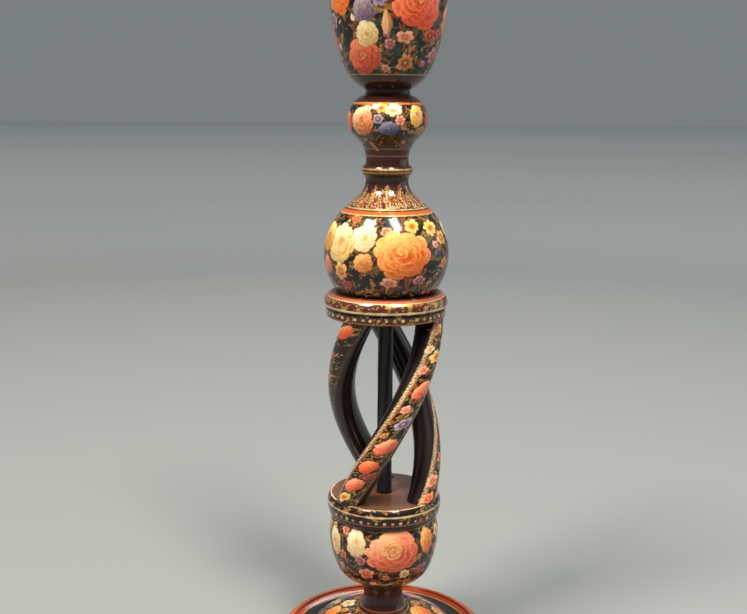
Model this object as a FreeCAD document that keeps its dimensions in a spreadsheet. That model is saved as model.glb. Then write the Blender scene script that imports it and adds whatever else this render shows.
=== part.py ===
"""A turned and painted wooden candlestick with an open three-bar twist stem.

Frame: +Z up, origin at the centre of the foot's resting face, millimetres.
The stem is a stack: foot, lower bulb, lower collar, open twist, upper collar,
upper bulb, knop, cup. An iron rod up the middle clamps the stack from the foot
to the upper bulb, and a loose brass nozzle sits in the cup.
"""

import FreeCAD, Part
import math
import os
import re

import Sketcher

SIZES = {
    # fits and hidden joinery
    "glue_gap": 0.1,
    "end_gap": 0.5,
    "tenon_radius": 9,
    "foot_tenon_length": 12,
    "knop_tenon_length": 20,
    "cup_tenon_length": 12,
    # felt under the foot
    "felt_thick": 1.5,
    "felt_margin": 3,
    # foot: convex rim, hollow moulding, low dome
    "foot_radius": 71,
    "rim_undercut": 2,
    "rim_belly_height": 6,
    "rim_height": 12.2,
    "rim_round": 5.5,
    "rim_width": 7.2,
    "rim_step": 1.2,
    "hollow_floor_height": 8.8,
    "dome_radius": 47.5,
    "dome_foot_height": 13,
    "dome_step": 1,
    "dome_crown": 60,
    "foot_height": 27.5,
    "recess_radius": 46,
    "recess_depth": 3,
    "nut_pocket_radius": 15,
    "nut_pocket_depth": 12,
    # lower bulb: flared neck foot, waist, bowl
    "neck_foot_radius": 16.5,
    "waist_radius": 13.2,
    "waist_height": 11,
    "bowl_neck_radius": 14.4,
    "bowl_neck_height": 21.5,
    "bowl_knee_radius": 32,
    "bowl_knee_height": 33.5,
    "bowl_radius": 36.5,
    "bowl_belly_height": 57,
    "bowl_top_radius": 34.2,
    "bowl_height": 68,
    # lower collar
    "lower_seat_radius": 33.5,
    "lower_band_radius": 36.8,
    "lower_band_height": 2.8,
    "lower_collar_radius": 37.9,
    "lower_belly_height": 10,
    "lower_deck_radius": 36,
    "lower_collar_height": 14.7,
    # open twist: three round bars wound to the right
    "twist_height": 121.5,
    "twist_angle": 138,
    "bar_circle_radius": 28.5,
    "bar_radius": 9,
    "front_bar_angle": -140,
    "right_bar_angle": -32,
    "left_bar_angle": 96,
    "bar_tenon_radius": 5.5,
    "bar_tenon_length": 8,
    # upper collar
    "upper_band_foot_radius": 38.6,
    "upper_band_radius": 38.9,
    "upper_band_height": 5.4,
    "upper_groove_depth": 0.8,
    "upper_groove_width": 0.8,
    "upper_bead_radius": 39.4,
    "upper_collar_radius": 40,
    "upper_belly_height": 8.6,
    "upper_deck_radius": 34,
    "upper_collar_height": 15.8,
    # upper bulb: ball, bell flare, short neck, bead
    "ball_foot_radius": 32.1,
    "ball_radius": 40.1,
    "ball_belly_height": 24,
    "ball_top_radius": 27.6,
    "ball_height": 53,
    "flare_radius": 26.4,
    "flare_foot_height": 54,
    "flare_knee_radius": 17.4,
    "flare_knee_height": 62,
    "throat_radius": 13.65,
    "throat_height": 71,
    "bead_neck_radius": 14.6,
    "bead_foot_height": 74,
    "bead_radius": 16.2,
    "bead_belly_height": 77.3,
    "upper_bulb_height": 80.6,
    "rod_socket_depth": 38,
    # knop and the cyma under it
    "cyma_foot_radius": 14,
    "cyma_waist_radius": 13.6,
    "cyma_waist_height": 3.4,
    "cyma_turn_radius": 19.5,
    "cyma_turn_height": 16.4,
    "knop_radius": 25.2,
    "knop_belly_height": 28.4,
    "knop_top_radius": 16.3,
    "knop_top_height": 43,
    "knop_height": 45.4,
    # candle cup
    "cup_neck_radius": 14,
    "cup_neck_height": 1,
    "cup_heel_curve": 28,
    "cup_knee_radius": 27.1,
    "cup_knee_height": 14.5,
    "cup_radius": 36.5,
    "cup_belly_height": 62,
    "cup_lip_radius": 38.2,
    "cup_lip_height": 78,
    "cup_height": 81,
    "cup_lip_round": 1.4,
    "cup_mouth_radius": 34.5,
    "cup_seat_radius": 28,
    "cup_dish_depth": 6,
    # brass candle nozzle
    "candle_bore_radius": 11.1,
    "brass_thick": 0.9,
    "nozzle_depth": 30,
    "nozzle_collar_height": 5,
    "nozzle_lip": 1,
    "nozzle_clearance": 0.3,
    "pan_radius": 26,
    "pan_rim_height": 3.2,
    # tie rod, washers and nuts
    "rod_radius": 5,
    "rod_clearance": 0.3,
    "thread_radius": 4,
    "rod_chamfer": 0.6,
    "washer_radius": 8,
    "washer_thick": 1.6,
    "nut_flats": 13,
    "nut_thick": 6.5,
    "rod_overhang": 2,
}

# Heights of the joint planes above the resting face, from the foot upwards.
FOOT_BASE = "felt_thick"
BULB_BASE = FOOT_BASE + " + foot_height"
LOWER_COLLAR_BASE = BULB_BASE + " + bowl_height"
TWIST_BASE = LOWER_COLLAR_BASE + " + lower_collar_height"
UPPER_COLLAR_BASE = TWIST_BASE + " + twist_height"
BALL_BASE = UPPER_COLLAR_BASE + " + upper_collar_height"
KNOP_BASE = BALL_BASE + " + upper_bulb_height"
CUP_BASE = KNOP_BASE + " + knop_height"
PAN_BASE = CUP_BASE + " + cup_height - cup_dish_depth"

# The faces that the rod's two washers bear on.
LOWER_BEARING = FOOT_BASE + " + nut_pocket_depth"
UPPER_BEARING = BALL_BASE + " + upper_bulb_height - rod_socket_depth"

# Radii of the holes and sockets, each from the piece that goes in.
ROD_BORE = "(rod_radius + rod_clearance)"
SOCKET = "(tenon_radius + glue_gap)"
TUBE_RADIUS = "(candle_bore_radius + brass_thick)"
BAR_MORTISE = "(bar_tenon_radius + glue_gap)"

doc = FreeCAD.newDocument("candlestick")
sheet = doc.addObject("Spreadsheet::Sheet", "Sizes")
for row, (name, value) in enumerate(SIZES.items(), start=1):
    sheet.set(f"A{row}", str(value))
    sheet.setAlias(f"A{row}", name)
doc.recompute()

pieces = []


def bound(text):
    """Write the sheet's name in front of every size that the expression uses."""
    return re.sub(r"[a-z_]+", lambda word: "Sizes." + word[0] if word[0] in SIZES else word[0], text)


def bind(item, prop, text):
    item.setExpression(prop, bound(text))


def number(text):
    """The expression's value now, to start a sketch near its solved shape."""
    return float(sheet.evalExpression(bound(text)))


def origin_plane(body, role):
    return next(item for item in body.Origin.OriginFeatures if item.Role == role)


def arc_through(start, end, kind, radius=None):
    """Centre of the arc from start to end.

    "from_upright" and "into_upright" have an upright tangent at the first or the
    last point, "from_level" and "into_level" a level one. "crown" has the given
    radius and its centre on the axis side of a rising outline.
    """
    (x0, z0), (x1, z1) = start, end
    across, up = x1 - x0, z1 - z0
    chord = math.hypot(across, up)
    if kind == "from_upright":
        return x0 + chord**2 / (2 * across), z0
    if kind == "into_upright":
        return x1 - chord**2 / (2 * across), z1
    if kind == "from_level":
        return x0, z0 + chord**2 / (2 * up)
    if kind == "into_level":
        return x1, z1 - chord**2 / (2 * up)
    rise = math.sqrt(radius**2 - chord**2 / 4)
    return (x0 + x1) / 2 - up / chord * rise, (z0 + z1) / 2 + across / chord * rise


def add_arc(sketch, start, end, centre):
    """Add the shorter arc about centre and return its first and last vertex numbers."""
    angle0 = math.atan2(start[1] - centre[1], start[0] - centre[0])
    angle1 = math.atan2(end[1] - centre[1], end[0] - centre[0])
    turn = (angle1 - angle0 + math.pi) % (2 * math.pi) - math.pi
    if turn < 0:
        angle0, angle1 = angle1, angle0
    radius = math.dist(start, centre)
    circle = Part.Circle(FreeCAD.Vector(*centre, 0), FreeCAD.Vector(0, 0, 1), radius)
    sketch.addGeometry(Part.ArcOfCircle(circle, angle0, angle0 + abs(turn)), False)
    return (1, 2) if turn > 0 else (2, 1)


def pin_point(sketch, edge, vertex, point):
    """Hold a vertex at (radius, height), each an expression of the sheet's sizes."""
    for direction, text in zip(("DistanceX", "DistanceY"), point):
        number_of = sketch.addConstraint(
            Sketcher.Constraint(direction, -1, 1, edge, vertex, number(text))
        )
        if text != "0":
            bind(sketch, f"Constraints[{number_of}]", text)


def draw_outline(sketch, outline):
    """Draw a closed outline in radius and height.

    outline starts with a point and goes on with (radius, height) for a straight
    run or (radius, height, kind[, curve]) for an arc. A straight run closes it.
    """
    corners = [(number(step[0]), number(step[1])) for step in outline]
    ends = []
    for index in range(1, len(outline) + 1):
        step = outline[index % len(outline)]
        start, end = corners[index - 1], corners[index % len(outline)]
        edge = index - 1
        if index == len(outline) or len(step) == 2:
            line = Part.LineSegment(FreeCAD.Vector(*start, 0), FreeCAD.Vector(*end, 0))
            sketch.addGeometry(line, False)
            ends.append((1, 2))
            continue
        curve = number(step[3]) if len(step) == 4 else None
        first, last = add_arc(sketch, start, end, arc_through(start, end, step[2], curve))
        ends.append((first, last))
        if step[2] == "crown":
            held = sketch.addConstraint(Sketcher.Constraint("Radius", edge, curve))
            bind(sketch, f"Constraints[{held}]", step[3])
        else:
            level = "Horizontal" if step[2].endswith("upright") else "Vertical"
            corner = first if step[2].startswith("from") else last
            sketch.addConstraint(Sketcher.Constraint(level, edge, 3, edge, corner))
    for edge in range(len(outline)):
        before = (edge - 1) % len(outline)
        joint = Sketcher.Constraint("Coincident", before, ends[before][1], edge, ends[edge][0])
        sketch.addConstraint(joint)
        pin_point(sketch, edge, ends[edge][0], outline[edge])


def new_body(label, height):
    """A body whose own zero height stands at the given height of the candlestick."""
    body = doc.addObject("PartDesign::Body", label)
    body.Label = label
    bind(body, "Placement.Base.z", height)
    return body


def turned(label, height, outline):
    """A body turned on the lathe: an outline revolved about its upright axis."""
    body = new_body(label, height)
    sketch = body.newObject("Sketcher::SketchObject", label + "_outline")
    sketch.AttachmentSupport = [(origin_plane(body, "XZ_Plane"), "")]
    sketch.MapMode = "FlatFace"
    draw_outline(sketch, outline)
    turning = body.newObject("PartDesign::Revolution", label + "_turning")
    turning.Profile = sketch
    turning.ReferenceAxis = (sketch, ["V_Axis"])
    turning.Angle = 360
    pieces.append(body)
    return body


def cut_mortises(body, height, twist, upwards):
    """Three round mortises on the bars' circle, where the twist has turned by twist."""
    sketch = body.newObject("Sketcher::SketchObject", body.Label + "_mortises")
    sketch.AttachmentSupport = [(origin_plane(body, "XY_Plane"), "")]
    sketch.MapMode = "FlatFace"
    bind(sketch, "AttachmentOffset.Base.z", height)
    for index, start in enumerate(("front_bar_angle", "right_bar_angle", "left_bar_angle")):
        across = f"bar_circle_radius * cos(({start} + {twist}) * 1 deg)"
        deep = f"bar_circle_radius * sin(({start} + {twist}) * 1 deg)"
        middle = FreeCAD.Vector(number(across), number(deep), 0)
        circle = Part.Circle(middle, FreeCAD.Vector(0, 0, 1), number(BAR_MORTISE))
        sketch.addGeometry(circle, False)
        pin_point(sketch, index, 3, (across, deep))
        held = sketch.addConstraint(Sketcher.Constraint("Radius", index, number(BAR_MORTISE)))
        bind(sketch, f"Constraints[{held}]", BAR_MORTISE)
    pocket = body.newObject("PartDesign::Pocket", body.Label + "_mortise_holes")
    pocket.Profile = sketch
    pocket.Reversed = upwards
    bind(pocket, "Length", "bar_tenon_length + end_gap")


def make_foot():
    turned("base_felt", "0", [
        ("recess_radius + felt_margin", "0"),
        ("foot_radius - rim_undercut - felt_margin", "0"),
        ("foot_radius - rim_undercut - felt_margin", "felt_thick"),
        ("recess_radius + felt_margin", "felt_thick"),
    ])
    socket_floor = "foot_height - foot_tenon_length - end_gap"
    hollow_middle = "(foot_radius - rim_width + dome_radius) / 2"
    turned("foot", FOOT_BASE, [
        (ROD_BORE, "nut_pocket_depth"),
        ("nut_pocket_radius", "nut_pocket_depth"),
        ("nut_pocket_radius", "recess_depth"),
        ("recess_radius", "recess_depth"),
        ("recess_radius", "0"),
        ("foot_radius - rim_undercut", "0"),
        ("foot_radius", "rim_belly_height", "into_upright"),
        ("foot_radius - rim_round", "rim_height", "from_upright"),
        ("foot_radius - rim_width", "rim_height"),
        ("foot_radius - rim_width", "rim_height - rim_step"),
        (hollow_middle, "hollow_floor_height", "into_level"),
        ("dome_radius", "dome_foot_height", "from_level"),
        ("dome_radius", "dome_foot_height + dome_step"),
        ("neck_foot_radius", "foot_height", "crown", "dome_crown"),
        (SOCKET, "foot_height"),
        (SOCKET, socket_floor),
        (ROD_BORE, socket_floor),
    ])


def make_lower_bulb():
    def above(height):
        return "foot_tenon_length + " + height

    turned("lower_bulb", BULB_BASE + " - foot_tenon_length", [
        (ROD_BORE, "0"),
        ("tenon_radius", "0"),
        ("tenon_radius", "foot_tenon_length"),
        ("neck_foot_radius", "foot_tenon_length"),
        ("waist_radius", above("waist_height"), "into_upright"),
        ("bowl_neck_radius", above("bowl_neck_height"), "from_upright"),
        ("bowl_knee_radius", above("bowl_knee_height"), "from_level"),
        ("bowl_radius", above("bowl_belly_height"), "into_upright"),
        ("bowl_top_radius", above("bowl_height"), "from_upright"),
        (ROD_BORE, above("bowl_height")),
    ])


def make_lower_collar():
    collar = turned("lower_collar", LOWER_COLLAR_BASE, [
        (ROD_BORE, "0"),
        ("lower_seat_radius", "0"),
        ("lower_band_radius", "lower_band_height", "from_level"),
        ("lower_collar_radius", "lower_belly_height", "into_upright"),
        ("lower_deck_radius", "lower_collar_height", "from_upright"),
        (ROD_BORE, "lower_collar_height"),
    ])
    cut_mortises(collar, "lower_collar_height", "0", upwards=False)


def make_upper_collar():
    collar = turned("upper_collar", UPPER_COLLAR_BASE, [
        (ROD_BORE, "0"),
        ("upper_band_foot_radius", "0"),
        ("upper_band_radius", "upper_band_height"),
        ("upper_band_radius - upper_groove_depth", "upper_band_height + upper_groove_width / 2"),
        ("upper_bead_radius", "upper_band_height + upper_groove_width"),
        ("upper_collar_radius", "upper_belly_height", "into_upright"),
        ("upper_deck_radius", "upper_collar_height", "from_upright"),
        (ROD_BORE, "upper_collar_height"),
    ])
    cut_mortises(collar, "0", "twist_angle", upwards=True)


def make_upper_bulb():
    socket_floor = "upper_bulb_height - rod_socket_depth"
    turned("upper_bulb", BALL_BASE, [
        (ROD_BORE, "0"),
        ("ball_foot_radius", "0"),
        ("ball_radius", "ball_belly_height", "into_upright"),
        ("ball_top_radius", "ball_height", "from_upright"),
        ("flare_radius", "flare_foot_height"),
        ("flare_knee_radius", "flare_knee_height"),
        ("throat_radius", "throat_height", "into_upright"),
        ("bead_neck_radius", "bead_foot_height", "from_upright"),
        ("bead_radius", "bead_belly_height", "into_upright"),
        ("bead_neck_radius", "upper_bulb_height", "from_upright"),
        (SOCKET, "upper_bulb_height"),
        (SOCKET, socket_floor),
        (ROD_BORE, socket_floor),
    ])


def make_knop():
    def above(height):
        return "knop_tenon_length + " + height

    socket_floor = above("knop_height - cup_tenon_length - end_gap")
    turned("knop", KNOP_BASE + " - knop_tenon_length", [
        ("0", "0"),
        ("tenon_radius", "0"),
        ("tenon_radius", "knop_tenon_length"),
        ("cyma_foot_radius", "knop_tenon_length"),
        ("cyma_waist_radius", above("cyma_waist_height"), "into_upright"),
        ("cyma_turn_radius", above("cyma_turn_height"), "from_upright"),
        ("knop_radius", above("knop_belly_height"), "into_upright"),
        ("knop_top_radius", above("knop_top_height"), "from_upright"),
        ("cup_neck_radius", above("knop_height"), "into_upright"),
        (SOCKET, above("knop_height")),
        (SOCKET, socket_floor),
        ("0", socket_floor),
    ])


def make_cup():
    def above(height):
        return "cup_tenon_length + " + height

    seat = above("cup_height - cup_dish_depth")
    nozzle_hole = TUBE_RADIUS + " + nozzle_clearance"
    hole_floor = seat + " - nozzle_depth - end_gap"
    turned("candle_cup", CUP_BASE + " - cup_tenon_length", [
        ("0", "0"),
        ("tenon_radius", "0"),
        ("tenon_radius", "cup_tenon_length"),
        ("cup_neck_radius", "cup_tenon_length"),
        ("cup_neck_radius", above("cup_neck_height")),
        ("cup_knee_radius", above("cup_knee_height"), "crown", "cup_heel_curve"),
        ("cup_radius", above("cup_belly_height"), "into_upright"),
        ("cup_lip_radius", above("cup_lip_height"), "from_upright"),
        ("cup_lip_radius - cup_lip_round", above("cup_height"), "into_level"),
        ("cup_mouth_radius", above("cup_height")),
        ("cup_seat_radius", seat, "into_level"),
        (nozzle_hole, seat),
        (nozzle_hole, hole_floor),
        ("0", hole_floor),
    ])


def make_nozzle():
    tube_top = "nozzle_depth + nozzle_collar_height"
    turned("nozzle_tube", PAN_BASE + " - nozzle_depth", [
        ("0", "0"),
        (TUBE_RADIUS, "0"),
        (TUBE_RADIUS, tube_top + " - nozzle_lip"),
        (TUBE_RADIUS + " + nozzle_lip", tube_top, "from_upright"),
        ("candle_bore_radius", tube_top),
        ("candle_bore_radius", "brass_thick"),
        ("0", "brass_thick"),
    ])
    turned("drip_pan", PAN_BASE, [
        (TUBE_RADIUS, "0"),
        ("pan_radius - pan_rim_height", "0"),
        ("pan_radius", "pan_rim_height", "from_level"),
        ("pan_radius - brass_thick", "pan_rim_height"),
        ("pan_radius - pan_rim_height", "brass_thick", "into_level"),
        (TUBE_RADIUS, "brass_thick"),
    ])


def make_bar(label, start_angle):
    """One bar: a round section swept along a helix, cut level at both collars, with tenons.

    The helix overruns the open height by one bar diameter at each end, so that the
    level cuts go through the bar's full section.
    """
    overrun = "2 * bar_radius"
    turn_pitch = "twist_height * 360 / twist_angle"
    helix = doc.addObject("Part::Helix", label + "_path")
    bind(helix, "Radius", "bar_circle_radius")
    bind(helix, "Pitch", turn_pitch)
    bind(helix, "Height", f"twist_height + 2 * {overrun}")
    section = doc.addObject("Part::Circle", label + "_section")
    bind(section, "Radius", "bar_radius")
    bind(section, "Placement.Base.x", "bar_circle_radius")
    section.Placement.Rotation = FreeCAD.Rotation(FreeCAD.Vector(-1, 0, 0), 45)
    lean = f"atan({turn_pitch} / (2 * pi * bar_circle_radius))"
    bind(section, "Placement.Rotation.Angle", f"90 deg - {lean}")
    sweep = doc.addObject("Part::Sweep", label + "_sweep")
    sweep.Sections = [section]
    sweep.Spine = (helix, ["Edge1"])
    sweep.Solid = True
    sweep.Frenet = True
    bind(sweep, "Placement.Base.z", f"-{overrun}")
    sweep.Placement.Rotation = FreeCAD.Rotation(FreeCAD.Vector(0, 0, 1), -1)
    bind(sweep, "Placement.Rotation.Angle", f"-{overrun} / ({turn_pitch}) * 360 deg")
    opening = doc.addObject("Part::Cylinder", label + "_opening")
    bind(opening, "Radius", "bar_circle_radius + 3 * bar_radius")
    bind(opening, "Height", "twist_height")
    rail = doc.addObject("Part::Common", label + "_rail")
    rail.Base = sweep
    rail.Tool = opening
    tenons = []
    for end, turn, height in (
        ("lower", "0", "-bar_tenon_length"),
        ("upper", "twist_angle", "twist_height"),
    ):
        tenon = doc.addObject("Part::Cylinder", f"{label}_{end}_tenon")
        bind(tenon, "Radius", "bar_tenon_radius")
        bind(tenon, "Height", "bar_tenon_length")
        bind(tenon, "Placement.Base.x", f"bar_circle_radius * cos({turn} * 1 deg)")
        bind(tenon, "Placement.Base.y", f"bar_circle_radius * sin({turn} * 1 deg)")
        bind(tenon, "Placement.Base.z", height)
        tenons.append(tenon)
    bar = doc.addObject("Part::MultiFuse", label)
    bar.Label = label
    bar.Shapes = [rail, *tenons]
    bar.Placement.Rotation = FreeCAD.Rotation(FreeCAD.Vector(0, 0, 1), 1)
    bind(bar, "Placement.Base.z", TWIST_BASE)
    bind(bar, "Placement.Rotation.Angle", f"{start_angle} * 1 deg")
    pieces.append(bar)


def make_rod():
    """The iron rod, thicker between its two threaded ends."""
    bottom = LOWER_BEARING + " - washer_thick - nut_thick - rod_overhang"
    top = UPPER_BEARING + " + washer_thick + nut_thick + rod_overhang"
    length = f"({top}) - ({bottom})"
    lower_thread = "washer_thick + nut_thick + rod_overhang + end_gap"
    turned("tie_rod", bottom, [
        ("0", "0"),
        ("thread_radius - rod_chamfer", "0"),
        ("thread_radius", "rod_chamfer"),
        ("thread_radius", lower_thread),
        ("rod_radius", lower_thread),
        ("rod_radius", f"{length} - ({lower_thread})"),
        ("thread_radius", f"{length} - ({lower_thread})"),
        ("thread_radius", f"{length} - rod_chamfer"),
        ("thread_radius - rod_chamfer", length),
        ("0", length),
    ])


def make_fastener(end, washer_height, nut_height):
    """A flat washer and a hexagon nut around one threaded end of the rod."""
    turned(end + "_washer", washer_height, [
        ("thread_radius + rod_clearance", "0"),
        ("washer_radius", "0"),
        ("washer_radius", "washer_thick"),
        ("thread_radius + rod_clearance", "washer_thick"),
    ])
    label = end + "_nut"
    hexagon = doc.addObject("Part::Prism", label + "_hexagon")
    hexagon.Polygon = 6
    bind(hexagon, "Circumradius", "nut_flats / 2 / cos(30 deg)")
    bind(hexagon, "Height", "nut_thick")
    hole = doc.addObject("Part::Cylinder", label + "_hole")
    bind(hole, "Radius", "thread_radius")
    bind(hole, "Height", "nut_thick")
    nut = doc.addObject("Part::Cut", label)
    nut.Label = label
    nut.Base = hexagon
    nut.Tool = hole
    bind(nut, "Placement.Base.z", nut_height)
    pieces.append(nut)


make_foot()
make_lower_bulb()
make_lower_collar()
for bar_name in ("front", "right", "left"):
    make_bar(f"twist_bar_{bar_name}", f"{bar_name}_bar_angle")
make_upper_collar()
make_upper_bulb()
make_knop()
make_cup()
make_nozzle()
make_rod()
make_fastener(
    "lower",
    LOWER_BEARING + " - washer_thick",
    LOWER_BEARING + " - washer_thick - nut_thick",
)
make_fastener("upper", UPPER_BEARING, UPPER_BEARING + " + washer_thick")

doc.recompute()
for item in doc.Objects:
    if "Invalid" in item.State or "Error" in item.State:
        raise SystemExit(f"{item.Label} failed: {item.State}")
    if item.TypeId == "Sketcher::SketchObject" and not item.FullyConstrained:
        raise SystemExit(f"{item.Label} is not fully constrained")
for piece in pieces:
    if piece.Shape.isNull() or not piece.Shape.isValid():
        raise SystemExit(f"{piece.Label} has no valid shape")
    if len(piece.Shape.Solids) != 1:
        raise SystemExit(f"{piece.Label} is {len(piece.Shape.Solids)} solids, not one")

os.makedirs("parts", exist_ok=True)
for piece in pieces:
    piece.Shape.exportStep(f"parts/{piece.Label}.step")
    print(f"{piece.Label}: {piece.Shape.Volume / 1000:.1f} cm3")
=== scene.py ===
"""Looks of the painted lacquer candlestick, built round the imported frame.

Every painted piece is a grid of points: rows run along its turned outline, or
along a bar, and columns run round it. The flower painting is laid on the same
grid, as a colour, a share of gold leaf and a thickness of paint at each point.
Lengths are millimetres until a mesh is written. Turns are degrees from the
front (-Y), positive to the viewer's right.
"""

import math

import bmesh
import bpy
import numpy as np
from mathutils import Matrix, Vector


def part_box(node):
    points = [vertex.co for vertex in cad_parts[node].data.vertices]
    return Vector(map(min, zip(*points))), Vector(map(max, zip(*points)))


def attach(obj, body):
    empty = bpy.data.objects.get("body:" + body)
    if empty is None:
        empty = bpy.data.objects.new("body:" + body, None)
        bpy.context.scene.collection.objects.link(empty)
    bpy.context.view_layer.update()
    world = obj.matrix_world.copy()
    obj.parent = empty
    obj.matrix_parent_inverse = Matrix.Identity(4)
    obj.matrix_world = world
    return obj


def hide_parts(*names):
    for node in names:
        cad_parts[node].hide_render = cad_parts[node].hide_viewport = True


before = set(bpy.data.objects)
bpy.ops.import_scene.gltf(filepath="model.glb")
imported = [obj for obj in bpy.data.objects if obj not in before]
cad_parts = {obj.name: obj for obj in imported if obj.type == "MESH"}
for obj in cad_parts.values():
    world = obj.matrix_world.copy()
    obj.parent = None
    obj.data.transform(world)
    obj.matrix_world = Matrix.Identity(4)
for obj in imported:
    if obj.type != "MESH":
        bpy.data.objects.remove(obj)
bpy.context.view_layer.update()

MM = 0.001


# ---------------------------------------------------------------- colours

def linear(code):
    """The linear colour of an sRGB hex code."""
    part = np.array([int(code[i:i + 2], 16) / 255 for i in (1, 3, 5)])
    return np.where(part <= 0.04045, part / 12.92, ((part + 0.055) / 1.055) ** 2.4)


def palette(codes):
    """The linear colours of hex codes set apart by spaces."""
    return [linear(code) for code in codes.split()]


def mix(first, second, share):
    """Blend two colours, or fields of colour, by a share or a field of shares."""
    share = np.asarray(share)[..., None]
    return first * (1 - share) + second * share


def rise(low, high, value):
    """Smooth step from 0 below low to 1 above high."""
    step = np.clip((value - low) / (high - low), 0, 1)
    return step * step * (3 - 2 * step)


# The painter's colours: deep fold, body, light lip and, for flowers, heart.
TANGERINE = palette("#b8400c #f6861e #ffd890 #f8dc80")
VERMILION = palette("#9c2610 #f0562c #ffa06c #f6c060")
SALMON = palette("#a83426 #ec6a4a #ffc0a0 #f4cc7c")
CORAL = palette("#98220f #ea5030 #ff9c74 #f0b860")
CREAM = palette("#b98a3c #eed79a #fff6dc #d9902c")
IVORY = palette("#c9a77c #f4e6c4 #fffdf2 #e0a83c")
YELLOW = palette("#a8641a #ecb840 #fff0a8 #c05a18")
ORANGE = palette("#8a3a0c #e8923a #ffd598 #f6e08a")
VIOLET = palette("#3a2e5c #7e6e9e #c8bcd8 #e8c890")
PEACH = palette("#b8480c #f09a4c #fff4dc #e8863c")
BLUE = palette("#1e2450 #4a549c #a8a8d8 #f0e0b0")
MAUVE = palette("#5c1838 #b04a70 #e8a8b8 #f0c860")
PINK = palette("#9a3438 #ea8a7a #ffd0bc #f0c060")
CRIMSON = palette("#4c0a10 #a81e20 #e0604a #e8a040")
UMBER = palette("#4a1e0c #b4602a #eaa860 #f0d080")
LEAF_GREEN = palette("#0a160c #1d3420 #586a38")
TEAL = palette("#071314 #143636 #3a6258")
OLIVE = palette("#241a09 #544218 #a88c40")
RUST_LEAF = palette("#2e1007 #7a3315 #c46a30")
GOLD_LEAF = palette("#5c340e #b67c30 #f4cf88")
RIM_LINE = linear("#e6cfae")
TUFTS = palette("#e0b060 #d06a3a #c04030 #8a7aa8 #e8d0a8")
GOLD = linear("#d9a24c")
PALE_GOLD = linear("#f2d9a0")
COPPER = linear("#c8794a")
GROUND = linear("#150a07")
BROWN = linear("#34180f")
BLACK = linear("#0a0606")
HOLLOW_BROWN = linear("#1c0d08")
RIM_RED = linear("#943c1a")
SMALL = [TANGERINE, SALMON, CREAM, YELLOW, ORANGE, PINK, UMBER, CRIMSON, UMBER, MAUVE]


# ---------------------------------------------------------------- outlines

def arc_centre(start, end, kind, curve):
    """Centre of an arc with an upright or level tangent at one end, or of a given radius."""
    across, up = end - start
    chord = math.hypot(across, up)
    if kind == "from_upright":
        return start + (chord**2 / (2 * across), 0)
    if kind == "into_upright":
        return end - (chord**2 / (2 * across), 0)
    if kind == "from_level":
        return start + (0, chord**2 / (2 * up))
    if kind == "into_level":
        return end - (0, chord**2 / (2 * up))
    height = math.sqrt(curve**2 - chord**2 / 4)
    return (start + end) / 2 + np.array([-up, across]) / chord * height


def trace(steps):
    """Close points along steps of (radius, height[, kind[, curve]]): straight runs and arcs."""
    points = [np.array([steps[0][:2]], float)]
    for step in steps[1:]:
        start, end = points[-1][-1], np.array(step[:2], float)
        count = max(2, int(np.linalg.norm(end - start) / FINE))
        share = np.linspace(0, 1, count + 1)[1:, None]
        if len(step) == 2:
            points.append(start + (end - start) * share)
            continue
        centre = arc_centre(start, end, step[2], step[3] if len(step) == 4 else None)
        first, last = (math.atan2(*(p - centre)[::-1]) for p in (start, end))
        turn = (last - first + math.pi) % (2 * math.pi) - math.pi
        angle = first + turn * share
        reach = np.linalg.norm(start - centre)
        points.append(centre + reach * np.hstack([np.cos(angle), np.sin(angle)]))
    return np.vstack(points)


FINE = 0.1  # mm between the close points that an outline is first traced by
BEND, HIDDEN_BEND = 0.4, 1.2  # radians an outline may bend between rows, shown and hidden
HIDDEN_ROWS = 8  # hidden rows stand this many times as far apart as shown ones


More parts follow.
